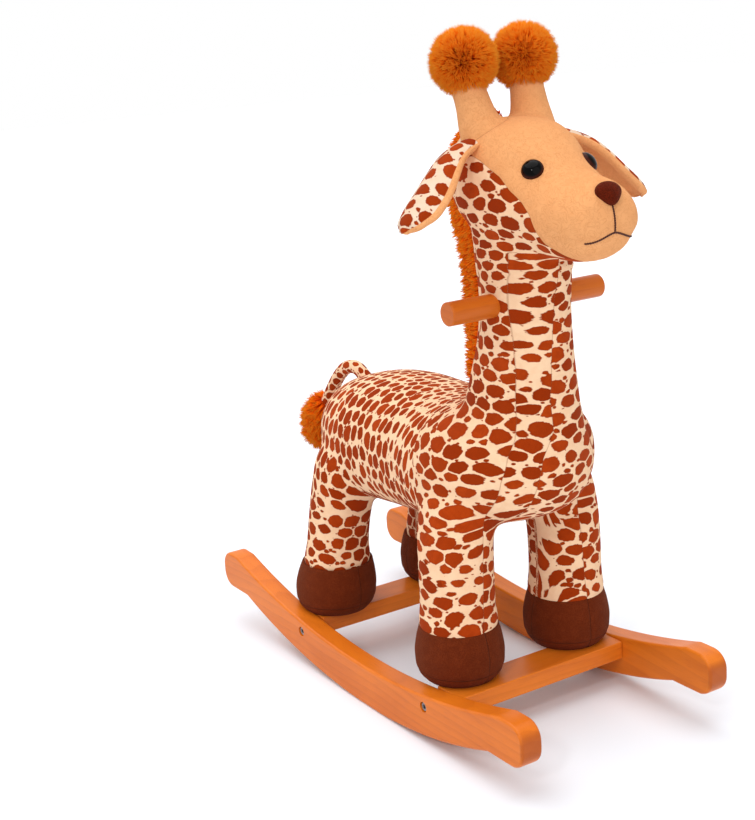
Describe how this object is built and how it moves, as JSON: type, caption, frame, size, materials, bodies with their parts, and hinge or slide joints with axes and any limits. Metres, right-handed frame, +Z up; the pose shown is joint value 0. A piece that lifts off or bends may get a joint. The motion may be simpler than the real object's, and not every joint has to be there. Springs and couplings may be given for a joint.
{
  "type": "plush rocking giraffe",
  "caption": "Stuffed giraffe ride-on with a wooden inner frame, a handle bar through its neck, and legs standing on slats between two curved wooden rockers.",
  "frame": {"origin": "on the floor, in the middle of the toy's width and length at rest", "axes": "+Z up, -Y forward, the way that the giraffe faces, +X to its left"},
  "size_m": [0.284, 0.583, 0.694],
  "materials": {
    "stained_wood": "satin varnish over an orange stain",
    "raw_wood": "bare, sanded",
    "spotted_plush": "short pile with rust spots on cream",
    "tan_plush": "short curly pile",
    "hoof_plush": "short pile",
    "orange_fur": "long pile",
    "nose_plush": "short pile",
    "black_plastic": "polished",
    "washer_plastic": "natural",
    "steel": "zinc plated"
  },
  "bodies": {
    "giraffe": {"board_screw_front_left": "steel", "board_screw_front_right": "steel", "board_screw_rear_left": "steel", "board_screw_rear_right": "steel", "body_board": "raw_wood", "cross_nut_front_left": "steel", "cross_nut_front_right": "steel", "cross_nut_rear_left": "steel", "cross_nut_rear_right": "steel", "eye_left": "black_plastic", "eye_right": "black_plastic", "eye_washer_left": "washer_plastic", "eye_washer_right": "washer_plastic", "front_slat": "stained_wood", "handle_bar": "stained_wood", "handle_screw": "steel", "head": "tan_plush", "hoof_front_left": "hoof_plush", "hoof_front_right": "hoof_plush", "hoof_rear_left": "hoof_plush", "hoof_rear_right": "hoof_plush", "horn_left": "tan_plush", "horn_right": "tan_plush", "leg_front_left": "spotted_plush", "leg_front_right": "spotted_plush", "leg_post_front_left": "raw_wood", "leg_post_front_right": "raw_wood", "leg_post_rear_left": "raw_wood", "leg_post_rear_right": "raw_wood", "leg_rear_left": "spotted_plush", "leg_rear_right": "spotted_plush", "leg_screw_front_left": "steel", "leg_screw_front_right": "steel", "leg_screw_rear_left": "steel", "leg_screw_rear_right": "steel", "mane": "orange_fur", "neck": "spotted_plush", "neck_post": "raw_wood", "neck_screw_front": "steel", "neck_screw_rear": "steel", "nose": "nose_plush", "pompom_left": "orange_fur", "pompom_right": "orange_fur", "rear_slat": "stained_wood", "rocker_bolt_front_left": "steel", "rocker_bolt_front_right": "steel", "rocker_bolt_rear_left": "steel", "rocker_bolt_rear_right": "steel", "rocker_left": "stained_wood", "rocker_right": "stained_wood", "slat_dowel_front_left": "raw_wood", "slat_dowel_front_right": "raw_wood", "slat_dowel_rear_left": "raw_wood", "slat_dowel_rear_right": "raw_wood", "torso": "spotted_plush"},
    "ear_right": {"ear_right": "spotted_plush"},
    "ear_left": {"ear_left": "spotted_plush"},
    "tail": {"tail": "spotted_plush", "tail_tuft": "orange_fur"}
  },
  "joints": [
    {"name": "ear_right_flop", "type": "hinge", "parent": "giraffe", "child": "ear_right", "pos_m": [-0.0534, -0.143, 0.5885], "axis": [0, 1, 0], "range_deg": [-8, 30], "stiffness_Nm_per_rad": 0.12, "springref_deg": 2.69},
    {"name": "ear_left_flop", "type": "hinge", "parent": "giraffe", "child": "ear_left", "pos_m": [0.0534, -0.143, 0.5885], "axis": [0, -1, 0], "range_deg": [-8, 30], "stiffness_Nm_per_rad": 0.12, "springref_deg": 2.69},
    {"name": "tail_wag", "type": "hinge", "parent": "giraffe", "child": "tail", "pos_m": [0, 0.15, 0.3052], "axis": [0, 0, 1], "range_deg": [-35, 35], "stiffness_Nm_per_rad": 0.05}
  ]
}
